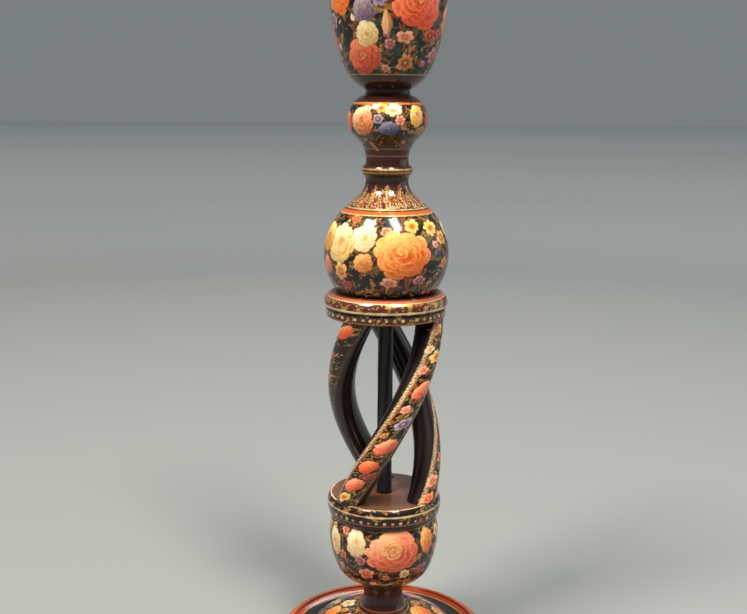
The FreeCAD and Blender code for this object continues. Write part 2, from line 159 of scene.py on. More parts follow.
class Outline:
    """The rows of a turned piece: its outline in radius and height, close where it shows.

    The outline's corners are eased by a running mean, as thick lacquer eases them, and
    rows stand closer where it bends. shown is painted; lead comes before it and hidden
    after it, to close the solid. An outline that starts on the axis ends on it; any other
    is a closed ring. Distances along it start where it first shows.
    """

    def __init__(self, shown, hidden, base, row=0.5, ease=0.7, lead=()):
        steps = list(lead) + list(shown) + list(hidden)
        dense = trace(steps)
        self.ring = steps[0][0] > 0
        shown_length = self.length_of(trace(shown))
        lead_length = self.length_of(trace(list(lead) + [shown[0]])) if lead else 0
        if self.ring:
            dense = np.vstack([dense, trace([dense[-1], dense[0]])[1:-1]])
        along = np.concatenate([[0], np.cumsum(np.linalg.norm(np.diff(dense, axis=0), axis=1))])
        even = np.arange(0, along[-1], FINE)
        dense = np.column_stack([np.interp(even, along, dense[:, k]) for k in (0, 1)])
        reach = int(ease / FINE / 2)
        pad = "wrap" if self.ring else "edge"
        padded = np.pad(dense, ((reach, reach), (0, 0)), mode=pad)
        window = np.ones(2 * reach + 1) / (2 * reach + 1)
        smooth = np.column_stack([np.convolve(padded[:, k], window, "valid") for k in (0, 1)])
        if not self.ring:
            smooth[0], smooth[-1] = dense[0], dense[-1]
        heading = np.unwrap(np.arctan2(*np.gradient(smooth, axis=0).T[::-1]))
        bend = np.abs(np.gradient(heading))
        seen = (even >= lead_length - row) & (even <= lead_length + shown_length + row)
        unseen_pace = FINE / (HIDDEN_ROWS * row) + bend / HIDDEN_BEND
        pace = np.where(seen, FINE / row + bend / BEND, unseen_pace)
        travel = np.cumsum(pace)
        count = int(travel[-1])
        paced = np.linspace(travel[0], travel[-1], count, endpoint=not self.ring)
        pick = np.interp(paced, travel, even)
        self.radius = np.interp(pick, even, smooth[:, 0])
        self.height = np.interp(pick, even, smooth[:, 1]) + base
        self.along = pick - lead_length
        self.base = base
        self.shown = (self.along >= 0) & (self.along <= shown_length)
        self.total = even[-1]

    @staticmethod
    def length_of(points):
        """The length of a line through points."""
        return float(np.linalg.norm(np.diff(points, axis=0), axis=1).sum())

    def at_height(self, height):
        """Distance along the outline where it first passes a height above the piece's base."""
        level = self.height[self.shown] - self.base
        return float(self.along[self.shown][np.argmin(np.abs(level - height))])

    def at_radius(self, radius, last=True):
        """Distance along the outline where it passes a radius, on its last or first pass."""
        gap = np.abs(self.radius[self.shown] - radius)
        near = np.nonzero(gap < gap.min() + 0.3)[0]
        return float(self.along[self.shown][near[-1] if last else near[0]])


# ---------------------------------------------------------------- painting

def round_turns(columns):
    """The turns of a grid's columns, in radians."""
    return np.linspace(-math.pi, math.pi, columns, endpoint=False)


class Canvas:
    """A grid of points to paint. rows lie along mm apart, and girth is mm per radian of turn."""

    def __init__(self, along, girth, columns, ground, seed):
        self.along = along
        self.girth = girth
        self.turn = round_turns(columns)
        self.rng = np.random.default_rng(seed)
        shape = (len(along), columns)
        self.colour = np.tile(ground, (*shape, 1)).astype(float)
        self.gilt = np.zeros(shape)
        self.relief = np.zeros(shape)

    def fields(self):
        """The painted fields by name."""
        return {"paint": self.colour, "gilt": self.gilt, "relief": self.relief}

    def window(self, turn, along, reach):
        """The block of points within reach of a place, with their distances across and along."""
        rows = np.nonzero(np.abs(self.along - along) <= reach)[0]
        if len(rows) == 0:
            return None, np.zeros((0, 0)), np.zeros((0, 0))
        off = (self.turn - math.radians(turn) + math.pi) % (2 * math.pi) - math.pi
        half = min(math.pi, reach / max(self.girth[rows].min(), 0.5))
        columns = np.nonzero(np.abs(off) <= half)[0]
        across = self.girth[rows][:, None] * off[None, columns]
        up = np.repeat((self.along[rows] - along)[:, None], len(columns), axis=1)
        return np.ix_(rows, columns), across, up

    def lay(self, block, cover, colour, gilt=0.0, relief=0.0):
        """Lay paint over a block: cover is how much it hides, relief how thick it stands."""
        if block is None:
            return
        self.colour[block] = mix(self.colour[block], colour, cover)
        self.gilt[block] = self.gilt[block] * (1 - cover) + gilt * cover
        self.relief[block] = self.relief[block] * (1 - cover) + relief * cover

    def step(self, turn, along, distance, heading):
        """The place a distance away from another in the direction of a heading in degrees."""
        # At least 4 mm a radian, so a stem near the axis doesn't run round it.
        girth = max(float(np.interp(along, self.along, self.girth)), 4)
        lean = math.radians(heading)
        across, up = distance * math.cos(lean), distance * math.sin(lean)
        return turn + math.degrees(across / girth), along + up


def inside(distance, soft=0.3):
    """1 inside a shape and 0 outside, from the signed distance to its edge in mm."""
    return 1 - rise(-soft, soft, distance)


def unsteady(canvas, across, up, size):
    """Distances swayed as by a painter's hand, by two slow sine waves."""
    for wave, sway in ((2.1, 0.055), (5.1, 0.03)):
        lean, phase, lag = canvas.rng.uniform(0, 2 * math.pi, 3)
        slide = (across * math.cos(lean) + up * math.sin(lean)) * wave / size
        across = across + sway * size * np.sin(slide + phase)
        up = up + sway * size * np.cos(slide + lag)
    return across, up


def dabs(across, up, size):
    """Loose dabs about a size across: two crossed sine waves, each bent by the other's."""
    x, y = across * math.pi / size, up * math.pi / size
    return 0.5 + 0.5 * np.sin(x + 1.6 * np.sin(0.7 * y)) * np.sin(y + 1.6 * np.sin(0.8 * x))


def petal_ring(canvas, across, up, petals, scallop):
    """Polar terms of a ring of petals: distance, bearing, how far a point is into its petal (0
    at the joins, 1 in the middle), a tone of each petal's own, and the shape of the lip."""
    phase = canvas.rng.uniform(0, 2 * math.pi)
    distance = np.hypot(across, up)
    swing = np.arctan2(up, across) + phase
    swing = swing + 0.22 * np.sin(swing + 2 * phase)
    own = 0.5 + 0.5 * np.sin(np.floor(swing * petals / (2 * math.pi)) * 2.4 + phase * 5)
    middle = np.abs(np.sin(swing * petals / 2))
    lip = (1 - scallop + scallop * middle**0.55) * (0.94 + 0.1 * own)
    return distance, swing, middle, own, lip


# Each ring of a rose: its share of the size, its petals, and how deep its scallop is.
ROSE_RINGS = (
    (1.0, 9, 0.12), (0.84, 7, 0.16), (0.69, 6, 0.2), (0.55, 5, 0.22), (0.42, 4, 0.25),
    (0.3, 4, 0.25), (0.19, 3, 0.3),
)


def rose(canvas, turn, along, size, paints, tall=1.0, heart_share=0.2):
    """A full-blown rose of overlapping petal rings that face a little upwards.

    Each ring's lip lies at size times its share times a scallop. From the fold to the lip
    a petal runs from deep to light, with brush strokes along it. Rings within the heart's
    share take the heart's colour. The upper left is paler and the lower right deeper, as
    painted light and shade from the upper left, and a soft dark halo under the rose is
    painted shade.
    """
    block, across, up = canvas.window(turn, along, size * 1.2 * max(1, tall))
    if block is None:
        return
    deep, body, light, heart = paints
    rng = canvas.rng
    across, up = unsteady(canvas, across, up / tall, size)
    # painted shade: a soft dark halo under the rose
    canvas.lay(block, 0.6 * inside(np.hypot(across, up) - size * 0.98, 1.6), deep * 0.2)
    for number, (share, petals, scallop) in enumerate(ROSE_RINGS):
        within = ROSE_RINGS[number + 1][0] * 0.9 if number < len(ROSE_RINGS) - 1 else 0
        lean = rng.uniform(-0.14, 0.14) * size * (1 - share)
        rising = rng.uniform(0.02, 0.22) * size * (1 - share)
        x, y = across - lean, up - rising
        distance, swing, middle, own, lip = petal_ring(canvas, x, y, petals, scallop)
        shown = (distance / (lip * size) - within) / (share - within)
        hue, pale = (heart, mix(heart, light, 0.5)) if share < heart_share + 0.05 else (body, light)
        tone = rise(0.0, 0.85, shown)
        stroke = swing * 43 + 2.2 * np.sin(swing * 7 + number) + 1.3 * np.sin(distance * 0.9)
        stroke = 0.5 + 0.5 * np.sin(stroke)
        colour = mix(deep, hue, 0.15 + 0.85 * tone * (0.8 + 0.2 * stroke))
        glow = rise(0.25, 1.0, shown) * (0.3 * stroke + 0.55 * own * rise(0.6, 1, shown))
        colour = mix(colour, pale, glow)
        join = 0.75 * np.exp(-((middle * distance / 0.75) ** 2)) * rise(0.2, 0.7, shown)
        colour = mix(colour, deep, join)
        # painted light and shade: each ring paler towards the upper left and deeper towards the
        # lower right, as if lit from the upper left
        side = (0.85 * y - 0.5 * x) / size
        lit = 0.75 * rise(-0.25, 0.95, side) + 0.3 * dabs(x, y, 2.6) - 0.1
        colour = mix(colour, pale, np.clip(lit, 0, 1))
        colour = mix(colour, mix(deep, body, 0.3), 0.7 * rise(0.0, 0.9, -side))
        colour = mix(colour, deep, 0.4 * rise(0.72, 1, dabs(y + number, x, 1.5)))
        if share < heart_share + 0.05:
            colour = mix(colour, deep, 0.6 * rise(0.55, 0.95, dabs(x - number, y, 1.1)))
        cover = inside(distance - lip * size * share, 0.35)
        canvas.lay(block, cover, colour, relief=0.3 + 0.5 * np.clip(shown, 0, 1))
    spot = np.hypot(across, up - 0.12 * size)
    seed = np.sin(across * 4.7 + np.sin(up * 2.3)) * np.sin(up * 4.9 + np.sin(across * 2.9))
    reach = size * max(0.09, heart_share * 0.8)
    cover = 0.75 * inside(spot - reach, reach * 0.4) * rise(-0.2, 0.5, seed)
    canvas.lay(block, cover, mix(heart, deep, 0.75), relief=0.9)


def blossom(canvas, turn, along, size, paints, petals, tall=1.0):
    """A small open flower: deep at the throat and light at the rim, streaked along its petals,
    with a stippled heart. Its edge lies at size times a scallop. Its upper left is paler and
    its lower right deeper, as painted light and shade, over a soft dark halo of painted shade."""
    block, across, up = canvas.window(turn, along, size * 1.25 * max(1, tall))
    if block is None:
        return
    deep, body, light, heart = paints
    across, up = unsteady(canvas, across, up / tall, size)
    distance, swing, middle, own, lip = petal_ring(canvas, across, up, petals, 0.4)
    edge = size * lip
    depth = distance / edge
    stroke = 0.5 + 0.5 * np.sin(swing * 33 + 2 * np.sin(swing * 6) + distance)
    colour = mix(deep, body, rise(0.1, 0.75, depth))
    colour = mix(colour, light, rise(0.35, 1.0, depth) * (0.35 + 0.4 * own + 0.25 * stroke))
    colour = mix(colour, deep, 0.65 * np.exp(-((middle * distance / 0.5) ** 2)))
    # painted light and shade: paler towards the upper left, deeper towards the lower right
    side = (0.85 * up - 0.5 * across) / size
    colour = mix(mix(colour, light, 0.35 * rise(0, 1, side)), deep, 0.4 * rise(0.1, 1.0, -side))
    # painted shade: a soft dark halo under the flower
    canvas.lay(block, 0.5 * inside(distance - size, 1.1), deep * 0.2)
    canvas.lay(block, inside(distance - edge), colour, relief=0.3 + 0.5 * depth)
    stipple = rise(-0.3, 0.5, np.sin(across * 5.5) * np.sin(up * 5.1))
    cover = 0.8 * inside(distance - size * 0.2, 0.3)
    canvas.lay(block, cover, mix(heart, deep, 0.6 * stipple), relief=0.9)


def leaf(canvas, turn, along, length, width, heading, paints, gilt=0.0):
    """A pointed leaf from its stalk at a place: half its width is sin(pi t) bent towards
    the stalk, light on one side of a pale midrib."""
    lean = math.radians(heading)
    block, across, up = canvas.window(*canvas.step(turn, along, length / 2, heading), length * 0.6)
    step = (across * math.cos(lean) + up * math.sin(lean)) / length + 0.5
    bow = canvas.rng.uniform(-0.12, 0.12) * length * np.sin(math.pi * np.clip(step, 0, 1))
    side = -across * math.sin(lean) + up * math.cos(lean) - bow
    half = width / 2 * np.sin(math.pi * np.clip(step, 0, 1) ** 0.8)
    deep, body, light = paints
    cover = inside(np.abs(side) - half, 0.22) * (step > 0) * (step < 1)
    colour = mix(deep, body, rise(-width / 2, width / 2, side))
    veins = 0.5 + 0.5 * np.sin((step * length - np.abs(side) * 0.8) * 4.2)
    glow = 0.6 * np.exp(-((side / 0.25) ** 2)) + 0.3 * veins * rise(0, width, side + width / 3)
    colour = mix(colour, light, glow)
    canvas.lay(block, cover, colour, gilt=gilt, relief=0.25)


def spray(canvas, turn, along, length, heading):
    """A curling gilt stem with paired leaves that shrink towards its tip."""
    size, gilt = 2.2, 0.9
    pairs = max(3, int(length / size * 1.6))
    curl = canvas.rng.uniform(-80, 80)
    for number in range(pairs):
        bearing = heading + curl * number / pairs
        shrink = 1 - 0.5 * number / pairs
        for side in (-48, 48):
            long = size * shrink
            leaf(canvas, turn, along, long, size * 0.42 * shrink, bearing + side, GOLD_LEAF, gilt)
        leaf(canvas, turn, along, length / pairs * 1.1, 0.5, bearing, GOLD_LEAF, gilt)
        turn, along = canvas.step(turn, along, length / pairs, bearing)


def tuft(canvas, turn, along, size, colour):
    """A loose cluster of small round touches of one colour."""
    for _ in range(int(4 + size * 1.5)):
        reach, heading = size * canvas.rng.uniform(0, 1) ** 0.7, canvas.rng.uniform(0, 360)
        block, across, up = canvas.window(*canvas.step(turn, along, reach, heading), 1.5)
        touch = canvas.rng.uniform(0.4, 0.75)
        tone = mix(colour * 0.5, colour, canvas.rng.uniform(0.3, 1))
        canvas.lay(block, inside(np.hypot(across, up) - touch, 0.2), tone, relief=0.8)


def line(canvas, along, width, colour, gilt=0.8):
    """A line round the piece, with the slight thick and thin of a brush held on the lathe."""
    turn = canvas.turn
    wave = np.sin(3 * turn + along) + np.sin(11 * turn) + np.sin(29 * turn)
    rows = np.nonzero(np.abs(canvas.along - along) <= width + 1)[0]
    block = np.ix_(rows, np.arange(len(canvas.turn)))
    off = np.abs(canvas.along[rows] - along)[:, None] - width / 2 + 0.08 * width * wave
    worn = 0.86 + 0.14 * np.sin(turn * 7 + along) * np.sin(turn * 19)
    canvas.lay(block, inside(off, 0.22) * worn, colour, gilt, 0.4)


def band(canvas, low, high, colour, gilt=0.0):
    """A plain painted band between two distances along."""
    rows = np.nonzero((canvas.along > low - 1) & (canvas.along < high + 1))[0]
    block = np.ix_(rows, np.arange(len(canvas.turn)))
    off = np.maximum(low - canvas.along[rows], canvas.along[rows] - high)[:, None] + 0 * canvas.turn
    canvas.lay(block, inside(off), colour, gilt)


def dots(canvas, along, count, size, colours):
    """A row of raised dots, one at each of count even turns, in alternating colours."""
    for number in range(count):
        turn = 360 * number / count + canvas.rng.normal(0, 0.35)
        block, across, up = canvas.window(turn, along + canvas.rng.normal(0, 0.1), size * 1.6)
        distance = np.hypot(across, up) / canvas.rng.uniform(0.85, 1.1)
        swell = np.sqrt(np.clip(1 - (distance / size) ** 2, 0, 1))
        colour = colours[number % len(colours)] * canvas.rng.uniform(0.6, 1)
        canvas.lay(block, inside(distance - size, 0.25), colour, 0.3, 0.4 + 1.4 * swell)


def lappets(canvas, low, high, count, share=1.0, shift=0.0):
    """A ring of tongues in worn cream, copper and gilt dabs with a brown edge: half the
    width is share of the pitch times the root of (1 - t^2)."""
    for number in range(count):
        turn = 360 * (number + shift) / count
        block, across, up = canvas.window(turn, low, (high - low) * 1.1)
        across, up = unsteady(canvas, across, up, 9)
        step = up / (high - low)
        pitch = 2 * math.pi * np.interp(low + up, canvas.along, canvas.girth) / count
        half = 0.5 * share * pitch * np.sqrt(np.clip(1 - step**2, 0, 1))
        off = np.abs(across) - half
        cover = inside(off, 0.25) * rise(0, 0.04, step) * (step < 1)
        worn = dabs(across + number, up, 1.7)
        colour = mix(BROWN, COPPER * 0.7, dabs(up, across + 2 * number, 2.3))
        colour = mix(colour, RIM_LINE, 0.9 * rise(0.5, 0.95, worn) * (1 - 0.5 * step))
        colour = mix(colour, BROWN, 0.9 * rise(0.45, 0.1, worn))
        canvas.lay(block, cover, BROWN * 0.4)
        canvas.lay(block, inside(off + 0.5, 0.3) * cover, colour, 0.35, 0.7 * worn)
        rib = 0.45 * inside(np.abs(across) - 0.2, 0.25) * cover * (off < -0.6)
        canvas.lay(block, rib, PALE_GOLD, 0.4, 0.7)


FOLIAGE = (RUST_LEAF, RUST_LEAF, OLIVE, OLIVE, LEAF_GREEN, TEAL, GOLD_LEAF)
ROSE_SIZE = 5.8  # mm: a larger flower is a rose, any other a blossom
BAR_ROSE_SIZE = 4.8  # the same on the bars
CROWD = 1.05  # blossoms stand this share of their summed sizes apart, or more


def undergrowth(canvas, low, high, leaves, sprays, flecks, tufts=0):
    """The painted field between the flowers: dim leaves, gold sprays, gold flecks, tufts."""
    rng = canvas.rng
    for number in range(leaves + sprays + flecks + tufts):
        turn, along, heading = rng.uniform(-180, 180), rng.uniform(low, high), rng.uniform(0, 360)
        if number < leaves:
            paints = FOLIAGE[int(rng.integers(len(FOLIAGE) - 1))]
            long = rng.uniform(3, 7.5)
            leaf(canvas, turn, along, long, long * rng.uniform(0.28, 0.45), heading, paints)
        elif number < leaves + sprays:
            spray(canvas, turn, along, rng.uniform(4, 9), heading)
        elif number < leaves + sprays + flecks:
            long, width = rng.uniform(1.2, 2.6), rng.uniform(0.45, 0.85)
            leaf(canvas, turn, along, long, width, heading, GOLD_LEAF, 0.9)
        else:
            tuft(canvas, turn, along, rng.uniform(1, 2), TUFTS[int(rng.integers(len(TUFTS)))])


def plant(canvas, at, low, high, heroes, sizes, tries):
    """Paint the listed flowers, (turn, place, size, paints[, tall]), where at turns a
    place into a distance along, with leaves under them, and smaller blossoms of the given
    sizes wherever none of the others is near."""
    rng = canvas.rng
    heroes = [
        (turn, at(place), size, paints, *(tall or [1]))
        for turn, place, size, paints, *tall in heroes
    ]
    places = [hero[:3] for hero in heroes]
    grown = []
    for size in sizes:
        for _ in range(tries):
            turn, along = rng.uniform(-180, 180), rng.uniform(low + size, high - size)
            girth = float(np.interp(along, canvas.along, canvas.girth))
            others = np.array(places)
            off = (others[:, 0] - turn + 180) % 360 - 180
            gap = np.hypot(np.radians(off) * girth, others[:, 1] - along)
            if np.all(gap > (others[:, 2] + size) * CROWD):
                places.append((turn, along, size))
                grown.append((turn, along, size, SMALL[int(rng.integers(len(SMALL)))], 1.0))
    for turn, along, size in places:
        for heading in rng.uniform(0, 360, int(3 + size * 0.9)):
            paints = FOLIAGE[int(rng.integers(len(FOLIAGE)))]
            long = size * rng.uniform(0.6, 0.95) + 2
            spot = canvas.step(turn, along, size * 0.6, heading)
            width = long * rng.uniform(0.3, 0.45)
            leaf(canvas, *spot, long, width, heading, paints, 0.8 if paints is GOLD_LEAF else 0)
    for turn, along, size, paints, tall in grown + heroes:
        if size > ROSE_SIZE:
            rose(canvas, turn, along, size, paints, tall=tall)
        else:
            blossom(canvas, turn, along, size, paints, petals=int(rng.integers(5, 8)), tall=tall)


# ---------------------------------------------------------------- meshes

def grid_faces(rows, columns, ring):
    """Quads between neighbouring points of a grid that closes round its columns, and round its
    rows too if ring. Otherwise the first and last rows are one point each, in a fan."""
    here = np.arange(rows)[:, None] * columns + np.arange(columns)
    right = np.roll(here, -1, axis=1)
    above, above_right = np.roll(here, -1, axis=0), np.roll(right, -1, axis=0)
    quads = np.stack([here, right, above_right, above], axis=-1)
    return (quads if ring else quads[:-1]).reshape(-1, 4)


def write_piece(name, points, along, total, ring, faces_shown=None, fields=None):
    """Write a grid of points (rows, columns, 3) in mm as a closed mesh in metres, with its own
    unwrapped map, smooth faces that point outwards and any painted fields. The end rows of a
    grid that isn't a ring are drawn in to their middle, so both poles are closed."""
    rows, columns = points.shape[:2]
    if not ring:
        points[[0, -1]] = points[[0, -1]].mean(axis=1, keepdims=True)
    quads = grid_faces(rows, columns, ring)
    corner = points.reshape(-1, 3)[quads]
    volume = np.einsum("ij,ij->i", corner[:, 0], np.cross(corner[:, 1], corner[:, 2])).sum()
    volume += np.einsum("ij,ij->i", corner[:, 0], np.cross(corner[:, 2], corner[:, 3])).sum()
    row = np.repeat(np.arange(rows if ring else rows - 1), columns)
    column = np.tile(np.arange(columns), rows if ring else rows - 1)
    along = along - along[0]
    next_along = np.append(along[1:], total)
    across = np.stack([column, column + 1, column + 1, column], axis=1) / columns
    up = np.stack([along[row], along[row], next_along[row], next_along[row]], axis=1) / total
    if volume < 0:
        quads, across, up = quads[:, ::-1], across[:, ::-1], up[:, ::-1]
    mesh = bpy.data.meshes.new(name)
    mesh.from_pydata((points.reshape(-1, 3) * MM).tolist(), [], quads.tolist())
    unwrap = mesh.uv_layers.new(name="OFBake")
    unwrap.data.foreach_set("uv", np.stack([across, up], axis=-1).ravel())
    mesh.polygons.foreach_set("use_smooth", np.ones(len(quads), bool))
    if faces_shown is not None:
        mesh.polygons.foreach_set("material_index", np.where(faces_shown[row], 0, 1))
    for field, values in (fields or {}).items():
        if values.ndim == 3:
            rgba = np.dstack([values, np.ones(values.shape[:2])])
            layer = mesh.color_attributes.new(field, "FLOAT_COLOR", "POINT")
            layer.data.foreach_set("color", rgba.ravel())
        else:
            layer = mesh.attributes.new(field, "FLOAT", "POINT")
            layer.data.foreach_set("value", values.ravel())
    if not ring:
        close_ends(mesh)
    mesh.update()
    piece = bpy.data.objects.new(name, mesh)
    bpy.context.scene.collection.objects.link(piece)
    return piece


def close_ends(mesh):
    """Merge each end row, whose points all lie at one place, into one point."""
    shape = bmesh.new()
    shape.from_mesh(mesh)
    bmesh.ops.remove_doubles(shape, verts=shape.verts, dist=1e-7)
    shape.to_mesh(mesh)
    shape.free()


def turned_points(outline, columns, lift=0.0):
    """Points of a turned surface: (r sin turn, -r cos turn, height), lifted along its normal."""
    turn = round_turns(columns)
    slope = np.gradient(np.column_stack([outline.radius, outline.height]), axis=0)
    slope /= np.maximum(np.linalg.norm(slope, axis=1, keepdims=True), 1e-9)
    swept = np.sum(outline.radius * np.gradient(outline.height))
    out = np.column_stack([slope[:, 1], -slope[:, 0]]) * (1 if swept > 0 else -1)
    radius = outline.radius[:, None] + out[:, :1] * lift
    height = outline.height[:, None] + out[:, 1:] * lift
    return np.stack([radius * np.sin(turn), -radius * np.cos(turn), height + 0 * turn], axis=-1)


PAINT_THICKNESS = 0.07  # mm of standing paint for a relief of 1


def painted_piece(node, outline, canvas):
    """Write a painted turned piece, with its paint standing a little proud where it shows."""
    shown = outline.shown[:, None]
    lift = canvas.relief * PAINT_THICKNESS * shown
    points = turned_points(outline, len(canvas.turn), lift)
    piece = write_piece(
        node + "_painted", points, outline.along, outline.total, outline.ring, outline.shown,
        canvas.fields(),
    )
    finish_piece(piece, node, "root", [LACQUER, BEECH])


def plain_piece(node, suffix, body, material, outline, columns, lift=0.0):
    """Write an unpainted turned piece of one material."""
    points = turned_points(outline, columns, lift)
    piece = write_piece(node + suffix, points, outline.along, outline.total, outline.ring)
    finish_piece(piece, node, body, [material])


def finish_piece(piece, node, body, materials):
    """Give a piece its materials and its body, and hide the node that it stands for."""
    for material in materials:
        piece.data.materials.append(material)
    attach(piece, body)
    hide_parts(node)


def turned(shown, hidden, base, columns, ground, seed, **shape):
    """The outline of a turned piece, and the canvas laid round it."""
    outline = Outline(shown, hidden, base, **shape)
    return outline, Canvas(outline.along, outline.radius, columns, ground, seed)


def bottom_of(node):
    """The lowest height of a node's box, in mm."""
    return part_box(node)[0][2] / MM


def top_of(node):
    """The greatest height of a node's box, in mm."""
    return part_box(node)[1][2] / MM


# ---------------------------------------------------------------- materials

def add(tree, kind, inputs=None, **settings):
    """Add a shader node. inputs holds socket values, or the sockets that feed them."""
    made = tree.nodes.new("ShaderNode" + kind)
    for key, value in settings.items():
        setattr(made, key, value)
    for key, value in (inputs or {}).items():
        if isinstance(value, bpy.types.NodeSocket):
            tree.links.new(value, made.inputs[key])
        else:
            made.inputs[key].default_value = value
    return made


def new_material(name):
    """An empty material, its tree, and the object's own coordinates to lay patterns by."""
    material = bpy.data.materials.new(name)
    material.use_nodes = True
    tree = material.node_tree
    tree.nodes.clear()
    return material, tree, add(tree, "TexCoord").outputs["Object"]


def noise(tree, place, scale, detail, distortion=0.0):
    """A noise of about scale lumps to the metre."""
    inputs = {"Vector": place, "Scale": scale, "Detail": detail, "Distortion": distortion}
    return add(tree, "TexNoise", inputs).outputs["Fac"]


def rings(tree, place, **inputs):
    """Rings round the upright axis, 0.31 m over the scale apart."""
    inputs = {"Vector": place, **{key.replace("_", " "): value for key, value in inputs.items()}}
    made = add(tree, "TexWave", inputs, wave_type="RINGS", rings_direction="Z")
    return made.outputs["Fac"]


def ramp(tree, value, *stops):
    """A colour that follows a value by (position, hex code or grey) stops."""
    made = add(tree, "ValToRGB", {"Fac": value})
    while len(made.color_ramp.elements) < len(stops):
        made.color_ramp.elements.new(0.5)
    for element, (position, tone) in zip(made.color_ramp.elements, stops):
        element.position = position
        element.color = (*(np.ones(3) * (linear(tone) if isinstance(tone, str) else tone)), 1)
    return made.outputs["Color"]


def span(tree, value, start, end):
    """A value from 0 to 1 carried to the range from start to end."""
    return add(tree, "MapRange", {"Value": value, "To Min": start, "To Max": end}).outputs["Result"]


def maths(tree, operation, first, second):
    """A sum or product of two values."""
    return add(tree, "Math", {0: first, 1: second}, operation=operation).outputs[0]


def tint(tree, share, first, second):
    """A colour multiplied by another, as far as a share."""
    inputs = {"Fac": share, "Color1": first, "Color2": second}
    return add(tree, "MixRGB", inputs, blend_type="MULTIPLY").outputs["Color"]


def bump(tree, height, strength, distance):
    """A normal tilted by a height. distance is in metres."""
    inputs = {"Height": height, "Strength": strength, "Distance": distance}
    return add(tree, "Bump", inputs).outputs["Normal"]


def surface(tree, colour, roughness, **inputs):
    """Feed the material's surface. Underscores in the names of inputs stand for spaces."""
    inputs = {key.replace("_", " "): value for key, value in inputs.items()}
    shader = add(tree, "BsdfPrincipled", {"Base Color": colour, "Roughness": roughness, **inputs})
    add(tree, "OutputMaterial", {"Surface": shader.outputs["BSDF"]})


def floral_lacquer():
    """Painted flowers on beech under rubbed copal lacquer: deep wet gloss over the paint, brush
    ridges in the highlights, gold that glints, a warm aged tint."""
    material, tree, place = new_material("floral_lacquer_over_beech")
    paint = add(tree, "Attribute", attribute_name="paint").outputs["Color"]
    gilt = add(tree, "Attribute", attribute_name="gilt").outputs["Fac"]
    relief = add(tree, "Attribute", attribute_name="relief").outputs["Fac"]
    # Uneven varnish: patches about 25 mm across, brushed at about 1 mm.
    aged = ramp(tree, noise(tree, place, 40.0, 4.0), (0.3, "#e4c998"), (0.7, "#fff2d8"))
    brush = noise(tree, place, 900.0, 3.0)
    streaked = ramp(tree, brush, (0.25, 0.72), (0.75, 1.0))
    worked = tint(tree, 0.7, tint(tree, 0.8, paint, aged), streaked)
    ridges = bump(tree, maths(tree, "ADD", brush, relief), 0.35, 0.0001)
    # Orange peel of hand-rubbed lacquer, about 4 mm across and very shallow.
    wet = bump(tree, noise(tree, place, 240.0, 1.0), 0.25, 0.0002)
    surface(
        tree, worked, span(tree, gilt, 0.5, 0.32), Metallic=maths(tree, "MULTIPLY", gilt, 0.8),
        Normal=ridges, Specular_IOR_Level=0.1,  # paint under varnish of nearly its own index
        Coat_Weight=1.0, Coat_Roughness=0.13, Coat_IOR=1.42, Coat_Normal=wet,
    )
    return material


def bare_beech():
    """Bare turned beech where no lacquer reached: pale tan end grain with the lathe's rings."""
    material, tree, place = new_material("bare_turned_beech")
    # Growth rings about 2.5 mm apart seen on the end grain, and pores under 1 mm.
    growth = rings(tree, place, Scale=120.0, Distortion=3.0, Detail=2.0, Detail_Scale=1.5)
    grain = maths(tree, "MULTIPLY", growth, noise(tree, place, 1400.0, 4.0))
    tone = ramp(tree, grain, (0.05, "#8a5f3c"), (0.5, "#b98a5c"))
    surface(tree, tone, 0.7, Normal=bump(tree, grain, 0.3, 0.0002))
    return material


def black_iron():
    """Forged iron rod under old black paint: dull black, pitted, rubbed to metal in spots."""
    material, tree, place = new_material("black_painted_iron")
    pits = noise(tree, place, 500.0, 6.0)
    tone = ramp(tree, pits, (0.45, "#0b0a0e"), (0.72, "#26242b"))
    pitted = bump(tree, pits, 0.4, 0.0003)
    surface(tree, tone, span(tree, pits, 0.28, 0.6), Metallic=0.2, Normal=pitted)
    return material


def spun_brass():
    """Spun sheet brass: warm yellow metal, fine turning rings, brown tarnish and wax bloom."""
    material, tree, place = new_material("spun_sheet_brass")
    # Turning marks about 0.6 mm apart, drawn a little coarser than real ones so they show.
    marks = rings(tree, place, Scale=500.0, Distortion=0.4, Detail=1.0)
    stain = noise(tree, place, 110.0, 6.0)
    tone = ramp(tree, stain, (0.35, "#7a5324"), (0.6, "#d8a94e"))
    turned_face = bump(tree, marks, 0.12, 0.0001)
    surface(tree, tone, span(tree, stain, 0.5, 0.2), Metallic=1.0, Normal=turned_face)
    return material


def zinc_steel():
    """Zinc-plated steel fasteners: grey with faint crystals about 3 mm across."""
    material, tree, place = new_material("zinc_plated_steel")
    flakes = add(tree, "TexVoronoi", {"Vector": place, "Scale": 330.0}).outputs["Distance"]
    tone = ramp(tree, flakes, (0.0, "#9a9ca0"), (0.8, "#c2c3c2"))
    surface(tree, tone, span(tree, flakes, 0.3, 0.45), Metallic=1.0)
    return material


def green_felt():
    """Pressed wool felt: dark green, matt, with matted fibres about 0.8 mm across."""
    material, tree, place = new_material("green_wool_felt")
    fibres = noise(tree, place, 1200.0, 5.0, 2.0)
    tone = ramp(tree, fibres, (0.3, "#0f2a1c"), (0.7, "#2c5a3e"))
    wool = bump(tree, fibres, 0.8, 0.0005)
    surface(tree, tone, 0.95, Normal=wool, Sheen_Weight=0.5, Sheen_Roughness=0.4)
    return material


LACQUER = floral_lacquer()
BEECH = bare_beech()
IRON = black_iron()
BRASS = spun_brass()
ZINC = zinc_steel()
FELT = green_felt()


# ---------------------------------------------------------------- foot

